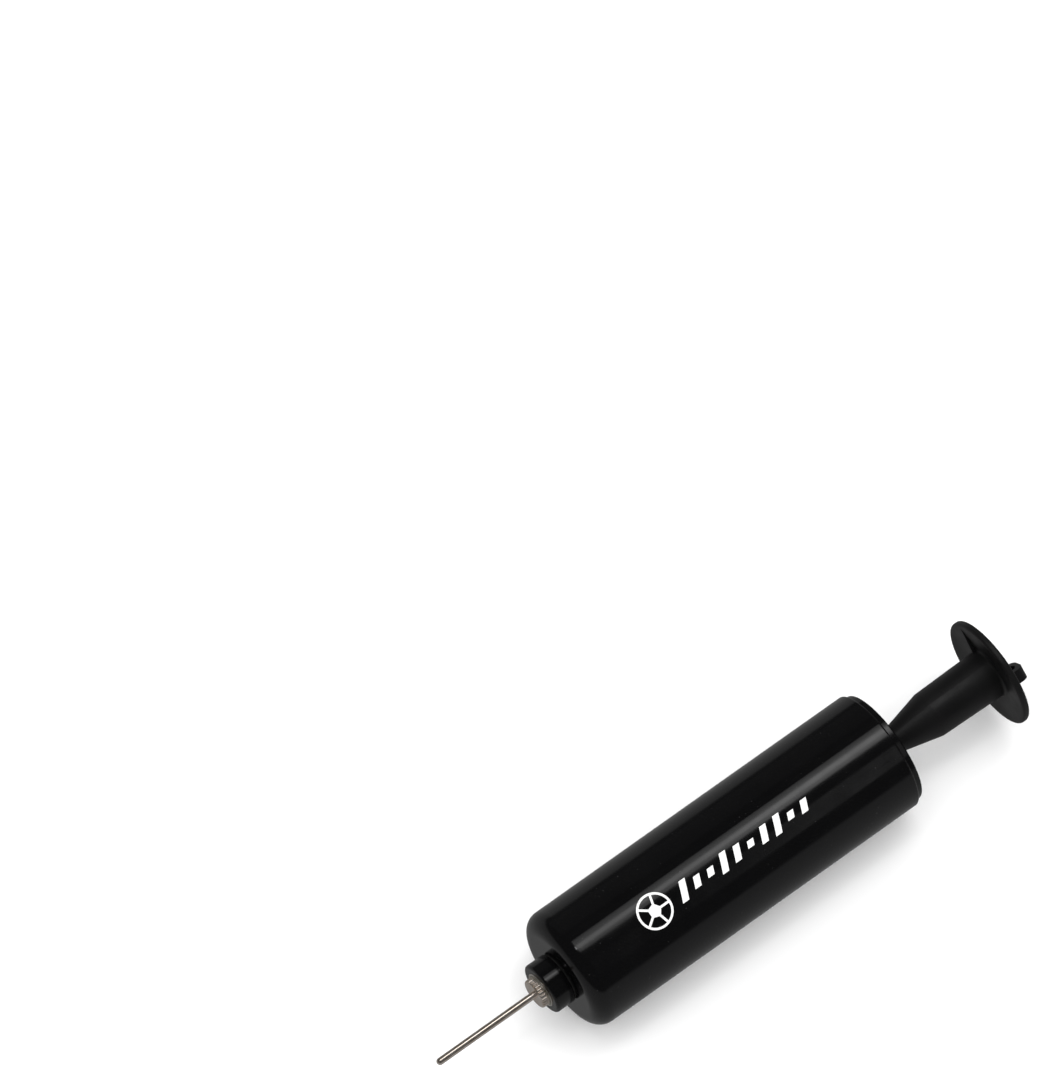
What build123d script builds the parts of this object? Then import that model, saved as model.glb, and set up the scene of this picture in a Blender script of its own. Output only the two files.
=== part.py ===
from build123d import *

import os
from math import cos, radians, sin, sqrt

# Hand pump for inflating balls, lying on its side.
#
# The pump axis runs along +X from the needle to the handle, at the height of the
# barrel's radius, so the barrel rests on Z = 0. Every piece is described by stations:
# a station is the distance along the axis from the barrel's nozzle end face, positive
# towards the handle. The origin is below the middle of the whole pump's length.

os.makedirs("parts", exist_ok=True)

# --- Driving dimensions, in millimetres and degrees ---------------------------------

# Barrel: a tube with a closed, rounded nozzle end and a boss inside it.
BARREL_RADIUS = 17.25
BARREL_LENGTH = 105.6
WALL = 2.25
END_WALL = 3.0
END_ROUNDING = 4.6
BOSS_RADIUS = 9.0
BOSS_END = 9.8

# End cap: a flange on the barrel's mouth, a plug with a snap bead, and a guide.
FLANGE_RADIUS = 16.25
FLANGE_THICKNESS = 1.8
PLUG_START = 96.5
PLUG_WALL = 2.2
SNAP_STATION = 100.5
SNAP_LENGTH = 2.0
SNAP_DEPTH = 0.4
GUIDE_RADIUS = 6.0
GUIDE_LIP = 0.8
BUSH_RADIUS = 4.4
BUMPER_START = 93.0
VENT_RADIUS = 0.8
VENT_FROM_AXIS = 9.5

# Needle: hollow tube in a knurled hub with a threaded stem.
NEEDLE_RADIUS = 1.0
NEEDLE_BORE_RADIUS = 0.6
NEEDLE_TIP = -40.2
NEEDLE_TIP_WALL = 1.6
SIDE_HOLE_RADIUS = 0.4
SIDE_HOLE_FROM_TIP = 4.0
TUBE_SEAT_RADIUS = 0.8
TUBE_STOP = 0.5
HUB_RADIUS = 4.2
HUB_FRONT = -8.5
HUB_EDGE = 0.45
HUB_RIDGES = 24
RIDGE_DEPTH = 0.22
THREAD_RADIUS = 3.85
THREAD_PITCH = 25.4 / 32
THREAD_DEPTH = 0.35
THREAD_RELIEF = 0.6
UNDERCUT_RADIUS = 3.35
STEM_LENGTH = 5.85
STEM_BORE_RADIUS = 1.3
WASHER_THICKNESS = 0.4

# Nozzle: collar, threaded insert, gasket, seal and check valve.
COLLAR_RADIUS = 7.3
COLLAR_FRONT = -6.2
COLLAR_EDGE = 0.8
INSERT_RADIUS = 5.0
INSERT_FRONT = -6.3
INSERT_END = -0.4
SOCKET_FLOOR = 0.5
SEAL_THICKNESS = 0.5
SEAL_INSET = 0.35
SPIGOT_RADIUS = 5.95
SPIGOT_END = 7.4
SEAT_END = 8.6
SEAT_MOUTH_RADIUS = 2.2
AIR_HOLE_RADIUS = 1.5
CHAMBER_START = 1.3
CHAMBER_RADIUS = 2.6
BALL_RADIUS = 2.2
SPRING_RADIUS = 1.5
SPRING_WIRE_RADIUS = 0.17
SPRING_TURNS = 4

# Piston: cup, washer, head and the screw that holds them to the rod.
CUP_FRONT = 10.4
CUP_BASE = 14.0
CUP_END = 15.6
LIP_THICKNESS = 0.7
LIP_ROOT = 1.8
CUP_RELIEF = 0.4
CUP_WASHER_RADIUS = 10.0
CUP_WASHER_THICKNESS = 1.0
PISTON_GAP = 0.4
PISTON_PLATE_END = 17.4
PISTON_SKIRT = 2.0
PISTON_END = 20.0
PISTON_BOSS_RADIUS = 5.5
PISTON_BOSS_END = 24.0
PISTON_WEBS = 6
PISTON_WEB_THICKNESS = 1.2
SCREW_RADIUS = 1.25
SCREW_HEAD_RADIUS = 3.0
SCREW_HEAD_HEIGHT = 1.9
SCREW_LENGTH = 9.0
SCREW_POINT = 1.2
RECESS_WIDTH = 3.0
RECESS_SLOT = 0.7
RECESS_DEPTH = 1.1
RECESS_TAPER = 8.0

# Rod, and the pin that holds it in the handle.
ROD_RADIUS = 2.7
ROD_WEB = 1.8
ROD_SOCKET_START = 17.0
ROD_SOCKET_RADIUS = 2.5
ROD_JOURNAL = 3.0
ROD_TOP = 122.0
PIN_STATION = 116.5
PIN_RADIUS = 1.0
PIN_DEPTH = 4.2
PIN_END = 4.6

# Handle: cone, neck and a dished disc with a rib and a lug.
CONE_START_RADIUS = 3.05
CONE_END_RADIUS = 6.58
CONE_END = 122.4
NECK_END_RADIUS = 6.97
DISC_RADIUS = 15.8
DISC_INNER = 141.65
DISC_OUTER = 143.55
DISC_EDGE = 0.7
DISC_RIM = 1.3
DISH_DEPTH = 0.9
DISC_CROWN = 1.2
CROWN_RADIUS = 8.0
GRIP_ANGLE = 42.0
RIB_ANGLE = 36.0
RIB_REACH = 14.1
RIB_THICKNESS = 0.9
LUG_TOP = 150.65
LUG_WIDTH = 6.8
LUG_THICKNESS = 3.6
LUG_OFFSET = 4.4
LUG_ROUNDING = 2.2
LUG_HOLE_RADIUS = 1.75
LUG_HOLE_FROM_TOP = 3.0

# Gaps and edge roundings used throughout.
FIT_GAP = 0.02
RUNNING_GAP = 0.05
END_GAP = 0.1
FINE_EDGE = 0.2
EDGE = 0.5
ROOT = 0.8

# --- Stations and radii that follow from them ----------------------------------------

BORE_RADIUS = BARREL_RADIUS - WALL
PLUG_RADIUS = BORE_RADIUS - RUNNING_GAP
LENGTH_MIDDLE = (NEEDLE_TIP + LUG_TOP) / 2
AXIS_HEIGHT = BARREL_RADIUS
CAP_FACE = BARREL_LENGTH + FLANGE_THICKNESS
HANDLE_START = CAP_FACE + END_GAP
HUB_END = INSERT_FRONT - WASHER_THICKNESS - RUNNING_GAP / 2
STEM_END = INSERT_FRONT + STEM_LENGTH
THREAD_START = INSERT_FRONT + THREAD_RELIEF
PUMP_AXIS = Axis((0, 0, AXIS_HEIGHT), (1, 0, 0))


# --- Planes and shapes that repeat -----------------------------------------------------


def radial_plane(angle):
    """Plane holding the axis: local x is the station, y the radius at angle from +Y."""
    y = cos(radians(angle))
    z = sin(radians(angle))
    return Plane(origin=(-LENGTH_MIDDLE, 0, AXIS_HEIGHT), x_dir=(1, 0, 0), z_dir=(0, -z, y))


def cross_plane(station):
    """Plane square to the axis at a station: local x is +Y, local y is +Z."""
    return Plane(origin=(station - LENGTH_MIDDLE, 0, AXIS_HEIGHT), x_dir=(0, 1, 0), z_dir=(1, 0, 0))


def side_plane(angle, station, radius=0):
    """Plane square to the radial direction at angle: local x is the station."""
    y = cos(radians(angle))
    z = sin(radians(angle))
    start = (station - LENGTH_MIDDLE, radius * y, AXIS_HEIGHT + radius * z)
    return Plane(origin=start, x_dir=(1, 0, 0), z_dir=(0, y, z))


def turned(outline, mode=Mode.ADD):
    """Turn a closed outline of (station, radius, corner rounding) about the axis."""
    with BuildSketch(radial_plane(90)) as profile:
        with BuildLine():
            corners = [(station, radius) for station, radius, rounding in outline]
            FilletPolyline(*corners, radius=[rounding for *place, rounding in outline], close=True)
        make_face()
    revolve(profile.sketch, axis=PUMP_AXIS, mode=mode)


def ring(start, end, outer, inner, edge=0):
    """Outline of a plain ring, with its two outer edges rounded."""
    return [(start, inner, 0), (end, inner, 0), (end, outer, edge), (start, outer, edge)]


# --- Barrel and its two ends -------------------------------------------------------------

with BuildPart() as barrel:
    barrel_air_hole = AIR_HOLE_RADIUS + FINE_EDGE
    turned(
        [
            (0, SPIGOT_RADIUS, 0),
            (SEAT_END, SPIGOT_RADIUS, 0),
            (SEAT_END, barrel_air_hole, 0),
            (BOSS_END, barrel_air_hole, 0),
            (BOSS_END, BOSS_RADIUS, EDGE),
            (END_WALL, BOSS_RADIUS, ROOT),
            (END_WALL, BORE_RADIUS, ROOT),
            (BARREL_LENGTH, BORE_RADIUS, FINE_EDGE),
            (BARREL_LENGTH, BARREL_RADIUS, EDGE),
            (0, BARREL_RADIUS, END_ROUNDING),
        ]
    )
    snap_groove_radius = BORE_RADIUS + SNAP_DEPTH
    turned(ring(SNAP_STATION, SNAP_STATION + SNAP_LENGTH, snap_groove_radius, SPIGOT_RADIUS), Mode.SUBTRACT)
barrel.part.label = "barrel"
export_step(barrel.part, "parts/barrel.step")

with BuildPart() as end_cap:
    guide_end = CAP_FACE - GUIDE_LIP
    rod_hole_radius = ROD_RADIUS + END_GAP
    turned(
        [
            (PLUG_START, BUSH_RADIUS, 0),
            (guide_end, BUSH_RADIUS, 0),
            (guide_end, rod_hole_radius, 0),
            (CAP_FACE, rod_hole_radius, FINE_EDGE),
            (CAP_FACE, FLANGE_RADIUS, EDGE),
            (BARREL_LENGTH, FLANGE_RADIUS, FINE_EDGE),
            (BARREL_LENGTH, PLUG_RADIUS, 0),
            (PLUG_START, PLUG_RADIUS, EDGE),
            (PLUG_START, PLUG_RADIUS - PLUG_WALL, 0),
            (BARREL_LENGTH, PLUG_RADIUS - PLUG_WALL, ROOT),
            (BARREL_LENGTH, GUIDE_RADIUS, ROOT),
            (PLUG_START, GUIDE_RADIUS, 0),
        ]
    )
    bead_radius = snap_groove_radius - RUNNING_GAP
    bead_root_radius = PLUG_RADIUS - SNAP_DEPTH
    bead_start = SNAP_STATION + END_GAP
    bead_end = SNAP_STATION + SNAP_LENGTH - END_GAP
    turned(
        [
            (bead_start, bead_root_radius, 0),
            (bead_end, bead_root_radius, 0),
            (bead_end - SNAP_DEPTH, bead_radius, END_GAP),
            (bead_start + SNAP_DEPTH, bead_radius, END_GAP),
        ]
    )
    with BuildSketch(cross_plane(PLUG_START)) as vent:
        with PolarLocations(VENT_FROM_AXIS, 1, start_angle=GRIP_ANGLE - 120):
            Circle(VENT_RADIUS)
    extrude(amount=CAP_FACE - PLUG_START, mode=Mode.SUBTRACT)
end_cap.part.label = "end_cap"
export_step(end_cap.part, "parts/end_cap.step")

with BuildPart() as rod_bush:
    turned(ring(PLUG_START, guide_end, BUSH_RADIUS, ROD_RADIUS + RUNNING_GAP))
rod_bush.part.label = "rod_bush"
export_step(rod_bush.part, "parts/rod_bush.step")

with BuildPart() as stop_bumper:
    turned(ring(BUMPER_START, PLUG_START, GUIDE_RADIUS, ROD_RADIUS + FINE_EDGE, ROOT))
stop_bumper.part.label = "stop_bumper"
export_step(stop_bumper.part, "parts/stop_bumper.step")

# --- Nozzle: collar, thread, gasket and check valve ---------------------------------------

with BuildPart() as nozzle_collar:
    turned(
        [
            (COLLAR_FRONT, INSERT_RADIUS, 0),
            (SOCKET_FLOOR, INSERT_RADIUS, 0),
            (SOCKET_FLOOR, AIR_HOLE_RADIUS, 0),
            (CHAMBER_START, AIR_HOLE_RADIUS, 0),
            (CHAMBER_START, CHAMBER_RADIUS, FINE_EDGE),
            (SPIGOT_END, CHAMBER_RADIUS, 0),
            (SPIGOT_END, SPIGOT_RADIUS, FINE_EDGE),
            (-SEAL_THICKNESS, SPIGOT_RADIUS, 0),
            (-SEAL_THICKNESS, COLLAR_RADIUS, FINE_EDGE),
            (COLLAR_FRONT, COLLAR_RADIUS, COLLAR_EDGE),
        ]
    )
nozzle_collar.part.label = "nozzle_collar"
export_step(nozzle_collar.part, "parts/nozzle_collar.step")

with BuildPart() as collar_seal:
    turned(ring(-SEAL_THICKNESS, 0, COLLAR_RADIUS - SEAL_INSET, SPIGOT_RADIUS))
collar_seal.part.label = "collar_seal"
export_step(collar_seal.part, "parts/collar_seal.step")

with BuildPart() as threaded_insert:
    insert_bore = THREAD_RADIUS + RUNNING_GAP
    turned(
        [
            (INSERT_FRONT, insert_bore, END_GAP),
            (INSERT_END, insert_bore, 0),
            (INSERT_END, INSERT_RADIUS, 0),
            (INSERT_FRONT, INSERT_RADIUS, 0),
        ]
    )
threaded_insert.part.label = "threaded_insert"
export_step(threaded_insert.part, "parts/threaded_insert.step")

with BuildPart() as socket_gasket:
    turned(ring(INSERT_END, SOCKET_FLOOR, INSERT_RADIUS, AIR_HOLE_RADIUS + END_GAP))
socket_gasket.part.label = "socket_gasket"
export_step(socket_gasket.part, "parts/socket_gasket.step")

with BuildPart() as valve_seat:
    seat_depth = SEAT_MOUTH_RADIUS - AIR_HOLE_RADIUS
    turned(
        [
            (SPIGOT_END, SEAT_MOUTH_RADIUS, 0),
            (SPIGOT_END + seat_depth, AIR_HOLE_RADIUS, 0),
            (SEAT_END, AIR_HOLE_RADIUS, 0),
            (SEAT_END, SPIGOT_RADIUS, 0),
            (SPIGOT_END, SPIGOT_RADIUS, 0),
        ]
    )
valve_seat.part.label = "valve_seat"
export_step(valve_seat.part, "parts/valve_seat.step")

# The ball touches the 45 degree seat where its own slope is 45 degrees.
SEATED_CENTRE = SPIGOT_END + SEAT_MOUTH_RADIUS - sqrt(2) * BALL_RADIUS
BALL_STATION = SEATED_CENTRE - RUNNING_GAP

with BuildPart() as check_ball:
    with Locations((BALL_STATION - LENGTH_MIDDLE, 0, AXIS_HEIGHT)):
        Sphere(BALL_RADIUS)
check_ball.part.label = "check_ball"
export_step(check_ball.part, "parts/check_ball.step")

with BuildPart() as check_spring:
    spring_end = BALL_STATION - sqrt(BALL_RADIUS**2 - SPRING_RADIUS**2)
    spring_length = spring_end - CHAMBER_START - 2 * SPRING_WIRE_RADIUS - RUNNING_GAP
    spring_start = CHAMBER_START + SPRING_WIRE_RADIUS - LENGTH_MIDDLE
    with BuildLine() as coil:
        Helix(
            spring_length / SPRING_TURNS,
            spring_length,
            SPRING_RADIUS,
            center=(spring_start, 0, AXIS_HEIGHT),
            direction=(1, 0, 0),
        )
    with BuildSketch(coil.line ^ 0):
        Circle(SPRING_WIRE_RADIUS)
    sweep(path=coil.line, is_frenet=True)
check_spring.part.label = "check_spring"
export_step(check_spring.part, "parts/check_spring.step")

# --- Needle that screws into the nozzle ----------------------------------------------------

with BuildPart() as needle_hub:
    tube_stop_end = INSERT_FRONT + TUBE_STOP
    turned(
        [
            (HUB_FRONT, TUBE_SEAT_RADIUS, 0),
            (INSERT_FRONT, TUBE_SEAT_RADIUS, 0),
            (INSERT_FRONT, NEEDLE_BORE_RADIUS, 0),
            (tube_stop_end, NEEDLE_BORE_RADIUS, 0),
            (tube_stop_end, STEM_BORE_RADIUS, 0),
            (STEM_END, STEM_BORE_RADIUS, 0),
            (STEM_END, THREAD_RADIUS - THREAD_DEPTH, 0),
            (STEM_END - THREAD_DEPTH, THREAD_RADIUS, 0),
            (THREAD_START, THREAD_RADIUS, 0),
            (THREAD_START, UNDERCUT_RADIUS, 0),
            (HUB_END, UNDERCUT_RADIUS, 0),
            (HUB_END, HUB_RADIUS, END_GAP),
            (HUB_FRONT, HUB_RADIUS, HUB_EDGE),
        ]
    )
    with BuildSketch(cross_plane(HUB_FRONT)) as knurl:
        with PolarLocations(HUB_RADIUS + END_GAP, HUB_RIDGES):
            Circle(RIDGE_DEPTH + END_GAP)
    extrude(amount=HUB_END - HUB_FRONT - HUB_EDGE, mode=Mode.SUBTRACT)
    half_groove = THREAD_DEPTH - END_GAP
    thread_turns = int((STEM_END - THREAD_START) / THREAD_PITCH)
    for turn in range(1, thread_turns):
        groove = THREAD_START + turn * THREAD_PITCH
        turned(
            [
                (groove - half_groove, THREAD_RADIUS + END_GAP, 0),
                (groove, THREAD_RADIUS - THREAD_DEPTH, 0),
                (groove + half_groove, THREAD_RADIUS + END_GAP, 0),
            ],
            Mode.SUBTRACT,
        )
needle_hub.part.label = "needle_hub"
export_step(needle_hub.part, "parts/needle_hub.step")

with BuildPart() as needle_tube:
    tip_centre = NEEDLE_TIP + NEEDLE_RADIUS
    turned(
        [
            (tip_centre, 0, 0),
            (tip_centre, NEEDLE_RADIUS, 0),
            (HUB_FRONT, NEEDLE_RADIUS, 0),
            (HUB_FRONT, TUBE_SEAT_RADIUS, 0),
            (INSERT_FRONT, TUBE_SEAT_RADIUS, 0),
            (INSERT_FRONT, 0, 0),
        ]
    )
    with Locations((tip_centre - LENGTH_MIDDLE, 0, AXIS_HEIGHT)):
        Sphere(NEEDLE_RADIUS)
    bore_start = NEEDLE_TIP + NEEDLE_TIP_WALL
    with BuildSketch(cross_plane(bore_start)) as bore:
        Circle(NEEDLE_BORE_RADIUS)
    extrude(amount=INSERT_FRONT - bore_start, mode=Mode.SUBTRACT)
    with BuildSketch(side_plane(GRIP_ANGLE - 90, NEEDLE_TIP + SIDE_HOLE_FROM_TIP)) as side_hole:
        Circle(SIDE_HOLE_RADIUS)
    extrude(amount=2 * NEEDLE_RADIUS, mode=Mode.SUBTRACT)
needle_tube.part.label = "needle_tube"
export_step(needle_tube.part, "parts/needle_tube.step")

with BuildPart() as needle_washer:
    washer_bore = UNDERCUT_RADIUS + RUNNING_GAP
    turned(ring(INSERT_FRONT - WASHER_THICKNESS, INSERT_FRONT, HUB_RADIUS, washer_bore, END_GAP))
needle_washer.part.label = "needle_washer"
export_step(needle_washer.part, "parts/needle_washer.step")

# --- Plunger: piston, rod and handle --------------------------------------------------------

with BuildPart() as piston_cup:
    screw_hole_radius = SCREW_RADIUS + RUNNING_GAP
    turned(
        [
            (CUP_BASE, screw_hole_radius, 0),
            (CUP_END, screw_hole_radius, 0),
            (CUP_END, PLUG_RADIUS - CUP_RELIEF, CUP_RELIEF),
            (CUP_BASE - CUP_RELIEF, PLUG_RADIUS - FINE_EDGE, 0),
            (CUP_FRONT, PLUG_RADIUS, 0),
            (CUP_FRONT, PLUG_RADIUS - LIP_THICKNESS, 0),
            (CUP_BASE, PLUG_RADIUS - LIP_ROOT, ROOT),
        ]
    )
piston_cup.part.label = "piston_cup"
export_step(piston_cup.part, "parts/piston_cup.step")

with BuildPart() as cup_washer:
    washer_front = CUP_BASE - CUP_WASHER_THICKNESS
    turned(ring(washer_front, CUP_BASE, CUP_WASHER_RADIUS, screw_hole_radius, FINE_EDGE))
cup_washer.part.label = "cup_washer"
export_step(cup_washer.part, "parts/cup_washer.step")

with BuildPart() as piston_head:
    rim = BORE_RADIUS - PISTON_GAP
    rod_hole = ROD_SOCKET_RADIUS + FIT_GAP
    turned(
        [
            (CUP_END, screw_hole_radius, 0),
            (ROD_SOCKET_START, screw_hole_radius, 0),
            (ROD_SOCKET_START, rod_hole, 0),
            (PISTON_BOSS_END, rod_hole, 0),
            (PISTON_BOSS_END, PISTON_BOSS_RADIUS, FINE_EDGE),
            (PISTON_PLATE_END, PISTON_BOSS_RADIUS, ROOT),
            (PISTON_PLATE_END, rim - PISTON_SKIRT, ROOT),
            (PISTON_END, rim - PISTON_SKIRT, 0),
            (PISTON_END, rim, FINE_EDGE),
            (CUP_END, rim, FINE_EDGE),
        ]
    )
    web_root = PISTON_BOSS_RADIUS - EDGE
    web_reach = rim - PISTON_SKIRT + EDGE
    for web_number in range(PISTON_WEBS):
        with BuildSketch(radial_plane(web_number * 360 / PISTON_WEBS)) as web:
            with BuildLine():
                Polyline(
                    (ROD_SOCKET_START, web_root),
                    (ROD_SOCKET_START, web_reach),
                    (PISTON_END - EDGE, web_reach),
                    (PISTON_BOSS_END - EDGE, web_root),
                    close=True,
                )
            make_face()
        extrude(amount=PISTON_WEB_THICKNESS / 2, both=True)
piston_head.part.label = "piston_head"
export_step(piston_head.part, "parts/piston_head.step")

with BuildPart() as piston_screw:
    head_start = washer_front - SCREW_HEAD_HEIGHT
    screw_end = washer_front + SCREW_LENGTH
    turned(
        [
            (head_start, 0, 0),
            (screw_end, 0, 0),
            (screw_end, SCREW_RADIUS / 2, 0),
            (screw_end - SCREW_POINT, SCREW_RADIUS, 0),
            (washer_front, SCREW_RADIUS, 0),
            (washer_front, SCREW_HEAD_RADIUS, 0),
            (head_start, SCREW_HEAD_RADIUS - EDGE, EDGE),
        ]
    )
    with BuildSketch(cross_plane(head_start)) as recess:
        Rectangle(RECESS_WIDTH, RECESS_SLOT)
        Rectangle(RECESS_SLOT, RECESS_WIDTH)
    extrude(amount=RECESS_DEPTH, taper=RECESS_TAPER, mode=Mode.SUBTRACT)
piston_screw.part.label = "piston_screw"
export_step(piston_screw.part, "parts/piston_screw.step")

with BuildPart() as piston_rod:
    journal_end = PISTON_BOSS_END + ROD_JOURNAL
    head_journal = HANDLE_START - 1
    turned(ring(ROD_SOCKET_START, PISTON_BOSS_END, ROD_SOCKET_RADIUS, SCREW_RADIUS))
    turned(ring(PISTON_BOSS_END, journal_end, ROD_RADIUS, 0, FINE_EDGE))
    turned(ring(head_journal, ROD_TOP, ROD_RADIUS, 0, FINE_EDGE))
    with BuildSketch(cross_plane(journal_end - EDGE)) as cross:
        Rectangle(3 * ROD_RADIUS, ROD_WEB, rotation=GRIP_ANGLE)
        Rectangle(ROD_WEB, 3 * ROD_RADIUS, rotation=GRIP_ANGLE)
        Circle(ROD_RADIUS - RUNNING_GAP, mode=Mode.INTERSECT)
    extrude(amount=head_journal - journal_end + 2 * EDGE)
    with BuildSketch(side_plane(GRIP_ANGLE + 90, PIN_STATION)) as pin_hole:
        Circle(PIN_RADIUS)
    extrude(amount=2 * ROD_RADIUS, both=True, mode=Mode.SUBTRACT)
piston_rod.part.label = "piston_rod"
export_step(piston_rod.part, "parts/piston_rod.step")

with BuildPart() as handle:
    socket_radius = ROD_RADIUS + FIT_GAP
    turned(
        [
            (HANDLE_START, socket_radius, 0),
            (ROD_TOP, socket_radius, 0),
            (ROD_TOP, 0, 0),
            (DISC_OUTER + DISC_CROWN, 0, 0),
            (DISC_OUTER + DISC_CROWN, CROWN_RADIUS, 2 * CROWN_RADIUS / 3),
            (DISC_OUTER, DISC_RADIUS, DISC_EDGE),
            (DISC_INNER, DISC_RADIUS, DISC_EDGE),
            (DISC_INNER, DISC_RADIUS - DISC_RIM, FINE_EDGE),
            (DISC_INNER + DISH_DEPTH, NECK_END_RADIUS, ROOT),
            (CONE_END, CONE_END_RADIUS, 2 * ROOT),
            (HANDLE_START, CONE_START_RADIUS, END_GAP),
        ]
    )
    rib_root = NECK_END_RADIUS - 2 * EDGE
    with BuildSketch(radial_plane(RIB_ANGLE)) as rib:
        with BuildLine():
            Polyline(
                (DISC_OUTER - EDGE, rib_root),
                (DISC_OUTER - EDGE, RIB_REACH),
                (DISC_INNER, RIB_REACH),
                (DISC_INNER - EDGE, rib_root),
                close=True,
            )
        make_face()
    extrude(amount=RIB_THICKNESS / 2, both=True)
    with BuildSketch(side_plane(GRIP_ANGLE, DISC_OUTER, -LUG_OFFSET)) as lug:
        lug_height = LUG_TOP - DISC_OUTER
        with Locations((lug_height / 2 - EDGE / 2, 0)):
            Rectangle(lug_height + EDGE, LUG_WIDTH)
        fillet(lug.vertices().group_by(Axis.X)[-1], radius=LUG_ROUNDING)
        with Locations((lug_height - LUG_HOLE_FROM_TOP, 0)):
            Circle(LUG_HOLE_RADIUS, mode=Mode.SUBTRACT)
    extrude(amount=LUG_THICKNESS / 2, both=True)
    with BuildSketch(side_plane(GRIP_ANGLE - 90, PIN_STATION, -PIN_DEPTH)) as handle_pin_hole:
        Circle(PIN_RADIUS)
    extrude(amount=PIN_DEPTH + BORE_RADIUS, mode=Mode.SUBTRACT)
handle.part.label = "handle"
export_step(handle.part, "parts/handle.step")

with BuildPart() as handle_pin:
    with BuildSketch(side_plane(GRIP_ANGLE - 90, PIN_STATION, -PIN_DEPTH)) as pin_end:
        Circle(PIN_RADIUS)
    extrude(amount=PIN_DEPTH + PIN_END)
handle_pin.part.label = "handle_pin"
export_step(handle_pin.part, "parts/handle_pin.step")
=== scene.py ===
from math import cos, pi, radians, sin

import bmesh
import bpy
from mathutils import Matrix, Vector


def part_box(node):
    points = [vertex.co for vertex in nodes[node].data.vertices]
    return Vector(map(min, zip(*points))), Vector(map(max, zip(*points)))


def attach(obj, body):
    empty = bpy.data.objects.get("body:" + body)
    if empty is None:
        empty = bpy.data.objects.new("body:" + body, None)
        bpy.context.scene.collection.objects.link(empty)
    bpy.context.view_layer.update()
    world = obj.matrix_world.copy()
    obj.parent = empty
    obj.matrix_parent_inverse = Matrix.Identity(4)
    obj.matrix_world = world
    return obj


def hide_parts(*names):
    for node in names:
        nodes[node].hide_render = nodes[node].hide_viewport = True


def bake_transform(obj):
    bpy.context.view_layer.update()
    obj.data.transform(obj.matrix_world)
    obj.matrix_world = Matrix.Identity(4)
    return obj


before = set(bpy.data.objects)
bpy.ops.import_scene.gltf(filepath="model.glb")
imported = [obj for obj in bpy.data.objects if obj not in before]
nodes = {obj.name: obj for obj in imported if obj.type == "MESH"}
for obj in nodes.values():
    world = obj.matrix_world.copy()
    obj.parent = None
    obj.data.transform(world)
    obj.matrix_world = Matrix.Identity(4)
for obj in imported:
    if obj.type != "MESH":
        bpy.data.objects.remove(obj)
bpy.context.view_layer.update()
scene = bpy.context.scene
MM = 0.001

# --- Places taken from the frame ---------------------------------------------------------

barrel_low, barrel_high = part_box("barrel")
BARREL_RADIUS = (barrel_high.z - barrel_low.z) / 2
AXIS_Z = (barrel_high.z + barrel_low.z) / 2
NOZZLE_FACE = barrel_low.x
PUMP_MIDDLE = Vector((0, 0, AXIS_Z))

# --- Camera -------------------------------------------------------------------------------

VIEW_AZIMUTH = radians(-37.74)
VIEW_ELEVATION = radians(64.4)
CAMERA_DISTANCE = 4.0
FIELD_HEIGHT = 0.2815
SENSOR = 36.0
AIM_LEFT = 0.0536
AIM_UP = 0.0829


def view_axes(azimuth, elevation):
    """Right, up and back of a camera that looks at the pump from there."""
    back = Vector((sin(azimuth) * cos(elevation), -cos(azimuth) * cos(elevation), sin(elevation)))
    right = Vector((cos(azimuth), sin(azimuth), 0))
    return right, back.cross(right), back


def add_camera():
    right, up, back = view_axes(VIEW_AZIMUTH, VIEW_ELEVATION)
    data = bpy.data.cameras.new("camera")
    data.sensor_width = SENSOR
    data.lens = SENSOR * CAMERA_DISTANCE / FIELD_HEIGHT
    data.clip_start = 0.01
    data.clip_end = 20.0
    camera = bpy.data.objects.new("camera", data)
    target = PUMP_MIDDLE - right * AIM_LEFT + up * AIM_UP
    turn = Matrix((right, up, back)).transposed()
    camera.matrix_world = Matrix.Translation(target + back * CAMERA_DISTANCE) @ turn.to_4x4()
    scene.collection.objects.link(camera)
    scene.camera = camera


add_camera()

# --- Material nodes -----------------------------------------------------------------------


# Sockets of a Mix node that mixes colours. Their names are shared with its other modes.
MIX_FACTOR = 0
MIX_FIRST = 6
MIX_SECOND = 7
MIX_RESULT = 2


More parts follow.
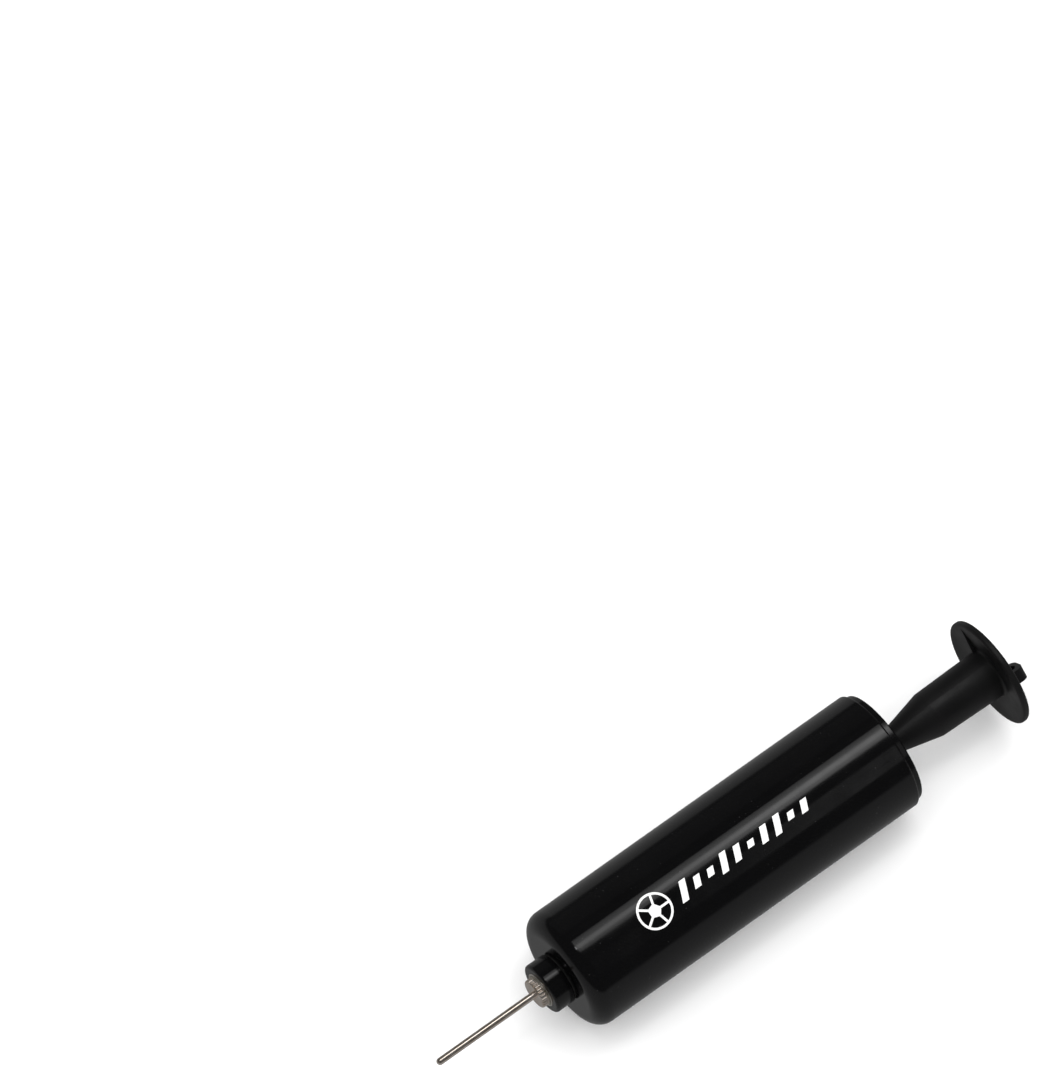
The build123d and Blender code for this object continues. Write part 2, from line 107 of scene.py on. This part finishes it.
class Shader:
    """A material built round one Principled shader, in its object's own coordinates."""

    def __init__(self, name, colour, roughness, **sockets):
        self.material = bpy.data.materials.new(name)
        self.material.use_nodes = True
        self.tree = self.material.node_tree
        self.principled = self.tree.nodes["Principled BSDF"]
        self.principled.inputs["Base Color"].default_value = (*colour, 1)
        self.principled.inputs["Roughness"].default_value = roughness
        for socket, value in sockets.items():
            self.principled.inputs[socket.replace("_", " ")].default_value = value
        self.place = self.add("ShaderNodeTexCoord").outputs["Object"]
        self.normal = None

    def add(self, kind, **settings):
        node = self.tree.nodes.new(kind)
        for name, value in settings.items():
            setattr(node, name, value)
        return node

    def link(self, output, node, socket):
        self.tree.links.new(output, node.inputs[socket])

    def noise(self, size, detail=2.0, rough=0.5, stretch=(1, 1, 1)):
        """Noise whose features are about size metres across, longer where stretch is under 1."""
        mapping = self.add("ShaderNodeMapping")
        mapping.inputs["Scale"].default_value = stretch
        self.link(self.place, mapping, "Vector")
        node = self.add("ShaderNodeTexNoise")
        node.inputs["Scale"].default_value = 1 / size
        node.inputs["Detail"].default_value = detail
        node.inputs["Roughness"].default_value = rough
        self.link(mapping.outputs["Vector"], node, "Vector")
        return node.outputs["Fac"]

    def spread(self, value, low, high, from_low=0.3, from_high=0.7):
        """value from from_low to from_high becomes low to high."""
        node = self.add("ShaderNodeMapRange")
        node.inputs["From Min"].default_value = from_low
        node.inputs["From Max"].default_value = from_high
        node.inputs["To Min"].default_value = low
        node.inputs["To Max"].default_value = high
        self.link(value, node, "Value")
        return node.outputs["Result"]

    def math(self, operation, first, second):
        node = self.add("ShaderNodeMath", operation=operation)
        self.link(first, node, 0)
        self.link(second, node, 1)
        return node.outputs["Value"]

    def colour_between(self, value, dark, light):
        node = self.add("ShaderNodeMix", data_type="RGBA")
        node.inputs[MIX_FIRST].default_value = (*dark, 1)
        node.inputs[MIX_SECOND].default_value = (*light, 1)
        self.link(value, node, MIX_FACTOR)
        self.link(node.outputs[MIX_RESULT], self.principled, "Base Color")

    def roughness_from(self, value):
        self.link(value, self.principled, "Roughness")

    def bump(self, value, height, strength=1.0):
        """Adds height metres of relief from value, on top of any before."""
        node = self.add("ShaderNodeBump")
        node.inputs["Strength"].default_value = strength
        node.inputs["Distance"].default_value = height
        self.link(value, node, "Height")
        if self.normal:
            self.link(self.normal, node, "Normal")
        self.normal = node.outputs["Normal"]
        self.link(self.normal, self.principled, "Normal")


def gloss_black(name, black, dust):
    """Polished black plastic: faint orange peel, smudges, hairline scratches and specks of dust."""
    shader = Shader(name, black, 0.1, IOR=1.46)
    smudges = shader.noise(9 * MM, detail=4.0, rough=0.6)
    hairs = shader.noise(0.3 * MM, detail=0.0, stretch=(0.05, 1, 1))
    scratches = shader.spread(hairs, 0, 0.06, 0.77, 0.81)
    specks = shader.spread(shader.noise(0.45 * MM, detail=0.0), 0, 1, 0.86, 0.88)
    shader.roughness_from(shader.math("ADD", shader.spread(smudges, 0.09, 0.17), scratches))
    shader.colour_between(specks, black, dust)
    shader.bump(shader.noise(2.6 * MM, detail=1.0), 0.004 * MM, strength=0.5)
    shader.bump(scratches, -0.001 * MM, strength=0.4)
    return shader.material


def satin_black(name):
    """Moulded black plastic with a fine spark-eroded grain and rubbed patches."""
    shader = Shader(name, (0.0018, 0.0017, 0.002), 0.46, IOR=1.43)
    wear = shader.noise(7 * MM, detail=3.0)
    shader.roughness_from(shader.spread(wear, 0.40, 0.54))
    tint = shader.noise(14 * MM, detail=2.0)
    dark, light = (0.0012, 0.0011, 0.0014), (0.003, 0.0027, 0.003)
    shader.colour_between(shader.spread(tint, 0, 1), dark, light)
    shader.bump(shader.noise(0.22 * MM, detail=2.0), 0.010 * MM, strength=0.4)
    return shader.material


def nickel(name, colour, roughness):
    """Nickel plate, drawn along the axis, with a little warm tarnish."""
    shader = Shader(name, colour, roughness, Metallic=1.0)
    drawn = shader.noise(0.12 * MM, detail=2.0, stretch=(0.03, 1, 1))
    shader.bump(drawn, 0.0015 * MM, strength=0.5)
    tarnish = shader.noise(3 * MM, detail=3.0)
    shader.roughness_from(shader.spread(tarnish, roughness - 0.05, roughness + 0.09))
    warm = tuple(channel * share for channel, share in zip(colour, (0.90, 0.84, 0.76)))
    shader.colour_between(shader.spread(tarnish, 0, 1), warm, colour)
    return shader.material


def steel(name, colour=(0.55, 0.55, 0.56), roughness=0.3):
    """Zinc-plated or polished steel, a little cloudy."""
    shader = Shader(name, colour, roughness, Metallic=1.0)
    grain = shader.noise(0.5 * MM, detail=3.0)
    shader.roughness_from(shader.spread(grain, roughness - 0.06, roughness + 0.1))
    dull = tuple(channel * 0.8 for channel in colour)
    shader.colour_between(shader.spread(shader.noise(2 * MM), 0, 1), dull, colour)
    shader.bump(grain, 0.004 * MM, strength=0.4)
    return shader.material


def rubber(name):
    """Soft black rubber with a dusty bloom."""
    shader = Shader(name, (0.006, 0.006, 0.006), 0.75, IOR=1.4)
    bloom = shader.noise(2.5 * MM, detail=4.0)
    shader.roughness_from(shader.spread(bloom, 0.62, 0.86))
    shader.colour_between(shader.spread(bloom, 0, 1), (0.004, 0.004, 0.004), (0.010, 0.010, 0.009))
    shader.bump(shader.noise(0.15 * MM, detail=2.0), 0.012 * MM, strength=0.4)
    return shader.material


def moulded(name, dark, light, roughness=0.45):
    """Plain moulded plastic of one colour, with faint flow marks."""
    shader = Shader(name, light, roughness, IOR=1.48)
    flow = shader.noise(6 * MM, detail=3.0)
    shader.roughness_from(shader.spread(flow, roughness - 0.06, roughness + 0.08))
    shader.colour_between(shader.spread(flow, 0, 1), dark, light)
    shader.bump(shader.noise(0.3 * MM, detail=2.0), 0.008 * MM, strength=0.4)
    return shader.material


def printing_ink(name):
    """White screen-printed ink with pinholes where it is thin."""
    shader = Shader(name, (0.84, 0.84, 0.83), 0.35, IOR=1.5)
    cover = shader.noise(1.2 * MM, detail=4.0)
    shader.roughness_from(shader.spread(cover, 0.28, 0.46))
    pinholes = shader.spread(shader.noise(0.25 * MM, detail=1.0), 1, 0, 0.70, 0.76)
    shader.colour_between(pinholes, (0.45, 0.45, 0.45), (0.84, 0.84, 0.83))
    shader.bump(cover, 0.004 * MM, strength=0.4)
    return shader.material


NICKEL_COLOUR = (0.90, 0.83, 0.77)

finishes = {
    "barrel": gloss_black("barrel_black", (0.0012, 0.0012, 0.0014), (0.03, 0.03, 0.03)),
    "end_cap": gloss_black("cap_black", (0.0013, 0.0013, 0.0015), (0.03, 0.03, 0.03)),
    "nozzle_collar": gloss_black("collar_black", (0.0012, 0.0012, 0.0014), (0.02, 0.02, 0.02)),
    "handle": satin_black("handle_black"),
    "piston_rod": satin_black("rod_black"),
    "needle_tube": nickel("needle_steel", NICKEL_COLOUR, 0.18),
    "needle_hub": nickel("hub_nickel", NICKEL_COLOUR, 0.20),
    "needle_washer": nickel("washer_nickel", (0.74, 0.72, 0.68), 0.30),
    "threaded_insert": nickel("insert_nickel", (0.45, 0.43, 0.40), 0.34),
    "check_ball": steel("ball_steel", (0.72, 0.72, 0.73), 0.14),
    "check_spring": steel("spring_steel"),
    "cup_washer": steel("washer_zinc"),
    "piston_screw": steel("screw_zinc"),
    "handle_pin": steel("pin_steel"),
    "collar_seal": rubber("seal_rubber"),
    "socket_gasket": rubber("gasket_rubber"),
    "valve_seat": rubber("seat_rubber"),
    "stop_bumper": rubber("bumper_rubber"),
    "piston_cup": rubber("cup_rubber"),
    "piston_head": moulded("piston_plastic", (0.50, 0.50, 0.46), (0.62, 0.62, 0.58)),
    "rod_bush": moulded("bush_plastic", (0.66, 0.66, 0.62), (0.78, 0.78, 0.74), 0.35),
}
for node_name, material in finishes.items():
    nodes[node_name].data.materials.clear()
    nodes[node_name].data.materials.append(material)

# --- Mesh pieces --------------------------------------------------------------------------

SHARP_ANGLE = radians(50)
MERGE_DISTANCE = 1e-7


def add_piece(name, bm, material, body=None):
    """Makes a smooth object of a bmesh, its sharp edges kept. It rides on a body, if given."""
    bmesh.ops.remove_doubles(bm, verts=bm.verts, dist=MERGE_DISTANCE)
    bmesh.ops.recalc_face_normals(bm, faces=bm.faces)
    mesh = bpy.data.meshes.new(name)
    bm.to_mesh(mesh)
    bm.free()
    for polygon in mesh.polygons:
        polygon.use_smooth = True
    mesh.set_sharp_from_angle(angle=SHARP_ANGLE)
    mesh.materials.append(material)
    piece = bpy.data.objects.new(name, mesh)
    scene.collection.objects.link(piece)
    if body:
        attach(piece, body)
    return piece


def about_axis(x, radius, angle):
    """Point at a radius from the pump's axis, with its angle measured from +Y towards +Z."""
    return Vector((x, radius * cos(angle), AXIS_Z + radius * sin(angle)))


def bridge(bm, row, following, closed=True):
    """Faces between two rows of vertices."""
    for k in range(len(row) if closed else len(row) - 1):
        after = (k + 1) % len(row)
        bm.faces.new((row[k], row[after], following[after], following[k]))


# The hub is rebuilt with a rounded knurl and a helical thread.

hub_low, hub_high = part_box("needle_hub")
washer_low, washer_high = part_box("needle_washer")
_, tube_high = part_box("needle_tube")
HUB_RADIUS = (washer_high.z - washer_low.z) / 2
HUB_RIDGES = 24
RIDGE_DEPTH = 0.34 * MM
HUB_EDGE = 0.45 * MM
EDGE_STEPS = 5
# Share of the ridges' depth that is left, and its distance from the washer.
VALLEY_ENDS = ((1.0, 0.30 * MM), (0.5, 0.15 * MM), (0.0, 0.08 * MM))
THREAD_RADIUS = 3.85 * MM
THREAD_DEPTH = 0.38 * MM
THREAD_PITCH = 25.4 * MM / 32
CREST_SLOPE = 1.3
CREST_OFFSET = 0.1
UNDERCUT_RADIUS = 3.35 * MM
UNDERCUT_LENGTH = 0.6 * MM
TUBE_SEAT_RADIUS = 0.8 * MM
LIP_RADIUS = 0.6 * MM
LIP_LENGTH = 0.5 * MM
STEM_BORE_RADIUS = 1.3 * MM
AROUND = 8 * HUB_RIDGES
ALONG_THREAD = 72


def ridged(radius, angle, share):
    """Radius of the knurl: rounded ridges with narrow valleys, faded by share."""
    wave = abs(cos(angle * HUB_RIDGES / 2))
    return radius - RIDGE_DEPTH * share * (1 - wave) ** 2


def threaded(x, angle):
    """Radius of the right-hand thread, which fades out at its start and its end."""
    turn = (x - hub_high.x) / THREAD_PITCH + angle / (2 * pi)
    from_root = abs(turn % 1 - 0.5) * 2
    start = washer_high.x + UNDERCUT_LENGTH
    fade = max(0, min(1, (x - start) / THREAD_PITCH, (hub_high.x - x) * 2 / THREAD_PITCH))
    crest = min(1, max(0, CREST_SLOPE * from_root - CREST_OFFSET))
    return THREAD_RADIUS - THREAD_DEPTH * (1 - crest * fade)


def hub_outline():
    """Rows of the hub, each a station and its radius as a function of the angle."""
    front = hub_low.x
    back = washer_low.x
    rows = [(front, lambda angle: TUBE_SEAT_RADIUS)]
    for step in range(EDGE_STEPS + 1):
        bend = step / EDGE_STEPS * pi / 2
        rim = HUB_RADIUS - HUB_EDGE * (1 - sin(bend))
        x = front + HUB_EDGE * (1 - cos(bend))
        rows.append((x, lambda angle, rim=rim, share=sin(bend): ridged(rim, angle, share)))
    for share, inset in VALLEY_ENDS:
        rows.append((back - inset, lambda angle, share=share: ridged(HUB_RADIUS, angle, share)))
    rows.append((back, lambda angle: HUB_RADIUS - VALLEY_ENDS[-1][1]))
    rows.append((back, lambda angle: UNDERCUT_RADIUS))
    start = washer_high.x + UNDERCUT_LENGTH
    rows.append((start, lambda angle: UNDERCUT_RADIUS))
    for step in range(ALONG_THREAD + 1):
        x = start + (hub_high.x - start) * step / ALONG_THREAD
        rows.append((x, lambda angle, x=x: threaded(x, angle)))
    lip_end = tube_high.x + LIP_LENGTH
    for x, radius in (
        (hub_high.x, STEM_BORE_RADIUS),
        (lip_end, STEM_BORE_RADIUS),
        (lip_end, LIP_RADIUS),
        (tube_high.x, LIP_RADIUS),
        (tube_high.x, TUBE_SEAT_RADIUS),
    ):
        rows.append((x, lambda angle, radius=radius: radius))
    return rows


def add_hub():
    bm = bmesh.new()
    angles = [2 * pi * k / AROUND for k in range(AROUND)]
    rows = []
    for x, radius in hub_outline():
        rows.append([bm.verts.new(about_axis(x, radius(angle), angle)) for angle in angles])
    for row, following in zip(rows, rows[1:] + rows[:1]):
        bridge(bm, row, following)
    hub = add_piece("knurled_hub", bm, finishes["needle_hub"], "needle")
    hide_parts("needle_hub")


add_hub()

# The bright rolled edge of the threaded insert.

insert_low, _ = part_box("threaded_insert")
BEAD_RADIUS = 4.8 * MM
BEAD_THICKNESS = 0.14 * MM
BEAD_POINTS = 10
BEAD_AROUND = 120


def add_bead():
    bm = bmesh.new()
    angles = [2 * pi * k / BEAD_AROUND for k in range(BEAD_AROUND)]
    rows = []
    for point in range(BEAD_POINTS):
        turn = 2 * pi * point / BEAD_POINTS
        x = insert_low.x + BEAD_THICKNESS * sin(turn)
        radius = BEAD_RADIUS + BEAD_THICKNESS * cos(turn)
        rows.append([bm.verts.new(about_axis(x, radius, angle)) for angle in angles])
    for row, following in zip(rows, rows[1:] + rows[:1]):
        bridge(bm, row, following)
    bright = nickel("bead_nickel", (0.88, 0.87, 0.84), 0.22)
    add_piece("insert_bead", bm, bright, "barrel")


add_bead()

# The valve's spring is rebuilt as a wire coil between its seat and the ball, its end turns closed
# up.

spring_low, spring_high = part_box("check_spring")
WIRE_RADIUS = 0.17 * MM
SPRING_RADIUS = (spring_high.z - spring_low.z) / 2 - WIRE_RADIUS
SPRING_TURNS = 4
STEPS_PER_TURN = 28
WIRE_POINTS = 10
END_CLOSING = 0.5


def add_spring():
    bm = bmesh.new()
    start = spring_low.x + WIRE_RADIUS
    length = spring_high.x - WIRE_RADIUS - start
    steps = SPRING_TURNS * STEPS_PER_TURN
    pitch_rise = length / SPRING_TURNS / (2 * pi)
    rows = []
    for step in range(steps + 1):
        share = step / steps
        share += END_CLOSING * (share * share * (3 - 2 * share) - share)
        angle = 2 * pi * step / STEPS_PER_TURN
        centre = about_axis(start + share * length, SPRING_RADIUS, angle)
        outward = Vector((0, cos(angle), sin(angle)))
        along = Vector((pitch_rise, -SPRING_RADIUS * sin(angle), SPRING_RADIUS * cos(angle)))
        across = along.normalized().cross(outward)
        ring = []
        for point in range(WIRE_POINTS):
            turn = 2 * pi * point / WIRE_POINTS
            reach = outward * cos(turn) + across * sin(turn)
            ring.append(bm.verts.new(centre + reach * WIRE_RADIUS))
        rows.append(ring)
    for row, following in zip(rows, rows[1:]):
        bridge(bm, row, following)
    bm.faces.new(rows[0])
    bm.faces.new(rows[-1])
    spring = add_piece("valve_spring", bm, finishes["check_spring"])
    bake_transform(spring)
    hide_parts("check_spring")


add_spring()

# The white print on the barrel: a ball emblem and a row of slanted bars.

PRINT_ANGLE = radians(110.6)
PRINT_TOP = BARREL_RADIUS + 0.02 * MM
PRINT_ROOT = BARREL_RADIUS - 0.05 * MM
EMBLEM_X = NOZZLE_FACE + 26.5 * MM
EMBLEM_RADIUS = 5.0 * MM
EMBLEM_LINE = 0.62 * MM
EMBLEM_POINTS = 60
PENTAGON_RADIUS = 2.0 * MM
PENTAGON_SHARES = (0.05, 0.5, 1)
SEAMS = 5
BARS = 10
FIRST_BAR = NOZZLE_FACE + 36.0 * MM
BAR_PITCH = 4.4 * MM
BAR_WIDTH = 2.0 * MM
BAR_SLANT = 0.42
BAR_HALF_HEIGHT = 1.8
BAR_HALF_SWING = 0.9
BAR_SWING_STEP = 1.9
BAR_STEPS = 8

ink = printing_ink("print_white")


def print_patch(bm, grid, closed=False):
    """Raised ink over rows of (x, arc) points; closed joins each row's ends."""
    top, root = layers = ([], [])
    for layer, radius in zip(layers, (PRINT_TOP, PRINT_ROOT)):
        for row in grid:
            points = [about_axis(x, radius, PRINT_ANGLE - arc / BARREL_RADIUS) for x, arc in row]
            layer.append([bm.verts.new(point) for point in points])
    for layer in layers:
        for row, following in zip(layer, layer[1:]):
            bridge(bm, row, following, closed)
    for end in (0, -1):
        bridge(bm, top[end], root[end], closed)
    if not closed:
        for side in (0, -1):
            bridge(bm, [row[side] for row in top], [row[side] for row in root], False)


def about_emblem(radius_at, share):
    """Closed row of points round the emblem's centre."""
    row = []
    for k in range(EMBLEM_POINTS):
        turn = 2 * pi * k / EMBLEM_POINTS
        reach = share * radius_at(turn)
        row.append((EMBLEM_X + reach * cos(turn), reach * sin(turn)))
    return row


def pentagon(turn):
    """Radius of the emblem's pentagon at a turn about its centre."""
    fifth = 2 * pi / SEAMS
    return PENTAGON_RADIUS * cos(fifth / 2) / cos(turn % fifth - fifth / 2)


def add_emblem():
    bm = bmesh.new()
    inner_share = 1 - EMBLEM_LINE / EMBLEM_RADIUS
    ring = [about_emblem(lambda turn: EMBLEM_RADIUS, share) for share in (inner_share, 1)]
    print_patch(bm, ring, True)
    print_patch(bm, [about_emblem(pentagon, share) for share in PENTAGON_SHARES], True)
    start = PENTAGON_RADIUS - EMBLEM_LINE / 2
    end = EMBLEM_RADIUS - EMBLEM_LINE
    for seam in range(SEAMS):
        turn = 2 * pi * seam / SEAMS
        rows = []
        for step in range(BAR_STEPS + 1):
            reach = start + (end - start) * step / BAR_STEPS
            row = []
            for half in (-EMBLEM_LINE / 2, EMBLEM_LINE / 2):
                x = EMBLEM_X + reach * cos(turn) - half * sin(turn)
                row.append((x, reach * sin(turn) + half * cos(turn)))
            rows.append(row)
        print_patch(bm, rows)
    add_piece("print_emblem", bm, ink, "barrel")


def add_bars():
    bm = bmesh.new()
    for bar in range(BARS):
        middle = FIRST_BAR + bar * BAR_PITCH
        half_height = (BAR_HALF_HEIGHT + BAR_HALF_SWING * cos(BAR_SWING_STEP * bar)) * MM
        rows = []
        for step in range(BAR_STEPS + 1):
            arc = half_height * (2 * step / BAR_STEPS - 1)
            x = middle + BAR_SLANT * arc
            rows.append([(x - BAR_WIDTH / 2, arc), (x + BAR_WIDTH / 2, arc)])
        print_patch(bm, rows)
    add_piece("print_bars", bm, ink, "barrel")


add_emblem()
add_bars()

# --- Studio -------------------------------------------------------------------------------

FLOOR_RADIUS = 3.0
FLOOR_POINTS = 96
FLOOR_ALBEDO = 0.96
AMBIENT = 1.3
# Height of a direction, from -1 straight down to 1 straight up, and the tone that gloss sees there.
WORLD_TONES = (
    (-1.0, 0.22),
    (-0.75, 0.27),
    (-0.35, 0.29),
    (-0.02, 0.27),
    (0.06, 0.06),
    (1.0, 0.05),
)
# Each light's place from the pump's middle, its sizes along and across the pump, its radiance.
SOFTBOXES = {
    "strip": ((0.33, 0.09, 1.15), 0.9, 0.16, 1.4),
    "strip_halo": ((0.33, 0.09, 1.16), 1.1, 0.42, 1.0),
    "cap_glow": ((0.38, 0.04, 1.14), 0.14, 0.34, 1.2),
    "cap_panel": ((0.38, -0.80, 0.89), 0.06, 0.64, 0.5),
    "side_panel": ((0.3, 1.5, 0.9), 2.0, 1.2, 0.03),
    "nozzle_spot": ((-0.25, 0.10, 1.13), 0.14, 0.10, 7.0),
}


def add_floor():
    """Pale floor under the pump. The gloss sees the world's tones in its place."""
    bm = bmesh.new()
    turns = [2 * pi * k / FLOOR_POINTS for k in range(FLOOR_POINTS)]
    bm.faces.new([bm.verts.new((FLOOR_RADIUS * cos(t), FLOOR_RADIUS * sin(t), 0)) for t in turns])
    mesh = bpy.data.meshes.new("floor")
    bm.to_mesh(mesh)
    bm.free()
    shader = Shader("floor_white", (FLOOR_ALBEDO, FLOOR_ALBEDO, FLOOR_ALBEDO), 0.9)
    shader.principled.inputs["Specular IOR Level"].default_value = 0.1
    mesh.materials.append(shader.material)
    floor = bpy.data.objects.new("floor", mesh)
    floor.visible_glossy = False
    scene.collection.objects.link(floor)


def add_softbox(name, place, size_x, size_across, radiance):
    """Area light at place that faces the pump, with one side along it."""
    data = bpy.data.lights.new(name, "AREA")
    data.shape = "RECTANGLE"
    data.size = size_across
    data.size_y = size_x
    data.energy = radiance * pi * size_x * size_across
    light = bpy.data.objects.new(name, data)
    back = (place - PUMP_MIDDLE).normalized()
    along = (Vector((1, 0, 0)) - back * back.x).normalized()
    turn = Matrix((along.cross(back), along, back)).transposed()
    light.matrix_world = Matrix.Translation(place) @ turn.to_4x4()
    light.visible_camera = False
    scene.collection.objects.link(light)


def add_world():
    """Even white light, but gloss sees a soft horizon: pale below it and nearly black above."""
    world = bpy.data.worlds.new("studio")
    scene.world = world
    world.use_nodes = True
    tree = world.node_tree
    place = tree.nodes.new("ShaderNodeTexCoord")
    split = tree.nodes.new("ShaderNodeSeparateXYZ")
    height = tree.nodes.new("ShaderNodeMapRange")
    height.inputs["From Min"].default_value = -1
    ramp = tree.nodes.new("ShaderNodeValToRGB")
    path = tree.nodes.new("ShaderNodeLightPath")
    choose = tree.nodes.new("ShaderNodeMix")
    choose.data_type = "RGBA"
    choose.inputs[MIX_FIRST].default_value = (AMBIENT, AMBIENT, AMBIENT, 1)
    tree.links.new(place.outputs["Generated"], split.inputs["Vector"])
    tree.links.new(split.outputs["Z"], height.inputs["Value"])
    tree.links.new(height.outputs["Result"], ramp.inputs["Fac"])
    tree.links.new(path.outputs["Is Glossy Ray"], choose.inputs[MIX_FACTOR])
    tree.links.new(ramp.outputs["Color"], choose.inputs[MIX_SECOND])
    tree.links.new(choose.outputs[MIX_RESULT], tree.nodes["Background"].inputs["Color"])
    stops = ramp.color_ramp.elements
    for z, _ in WORLD_TONES[1:-1]:
        stops.new((z + 1) / 2)
    for stop, (z, tone) in zip(stops, WORLD_TONES):
        stop.color = (tone, tone, tone, 1)


add_floor()
add_world()
for light_name, (offset, size_x, size_across, radiance) in SOFTBOXES.items():
    add_softbox(light_name, PUMP_MIDDLE + Vector(offset), size_x, size_across, radiance)

scene.view_settings.view_transform = "Standard"
